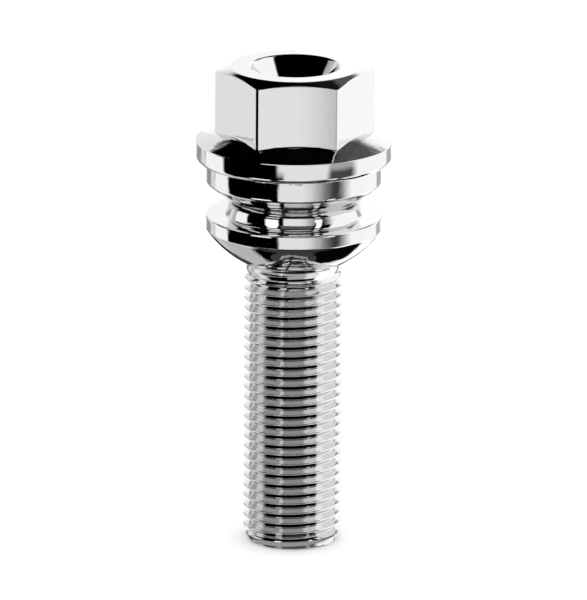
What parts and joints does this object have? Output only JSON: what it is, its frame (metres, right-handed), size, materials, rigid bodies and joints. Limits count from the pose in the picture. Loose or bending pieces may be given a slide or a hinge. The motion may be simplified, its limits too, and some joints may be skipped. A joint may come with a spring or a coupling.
{
  "type": "lug bolt",
  "caption": "Chromed wheel bolt with a hollow hexagon head, a flange, a grooved double collar, a spherical seat and a long fine-threaded shank, standing on its tip.",
  "frame": {"origin": "centre of the flat tip of the shank, on the bolt's axis", "axes": "+Z along the bolt's axis from the tip to the head; two flats of the hexagon face +Y and -Y"},
  "size_m": [0.024, 0.024, 0.0595],
  "materials": {
    "chrome_plating": "polished chrome plating over forged and rolled steel"
  },
  "bodies": {
    "root": {"lug_bolt": "chrome_plating"}
  },
  "joints": []
}
